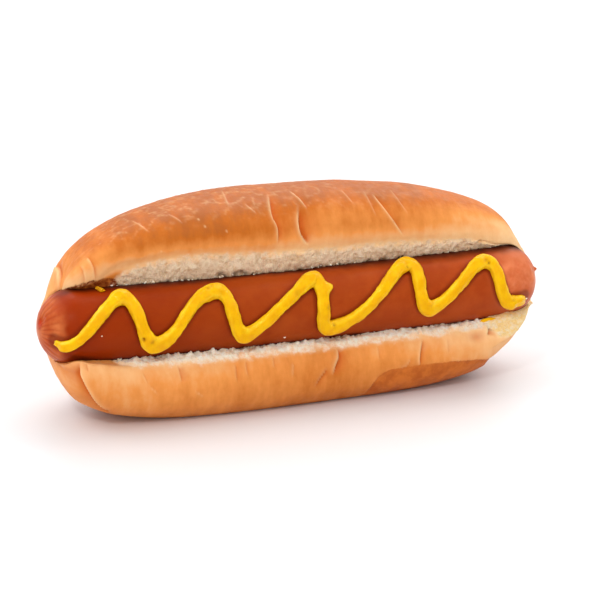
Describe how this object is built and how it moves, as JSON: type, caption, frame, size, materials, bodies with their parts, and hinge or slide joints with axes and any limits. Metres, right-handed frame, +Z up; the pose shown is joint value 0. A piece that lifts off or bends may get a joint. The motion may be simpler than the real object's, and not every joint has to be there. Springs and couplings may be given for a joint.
{
  "type": "hot dog",
  "caption": "Hot dog: a soft bun sliced along one side and hinged at the back, folded round a frankfurter with a zigzag bead of mustard.",
  "frame": {"origin": "On the ground, under the middle of the hot dog's bounding box.", "axes": "+X along the bun, +Z up, and the open side with the sausage faces -Y."},
  "size_m": [0.1551, 0.05, 0.0609],
  "materials": {
    "bun": "baked bread: satin golden-brown crust, matt pale crumb in the mouth",
    "sausage": "moist, smooth reddish-brown skin",
    "mustard": "wet, glossy yellow sauce"
  },
  "bodies": {
    "root": {"bun": "bun", "sausage": "sausage", "mustard": "mustard"}
  },
  "joints": []
}
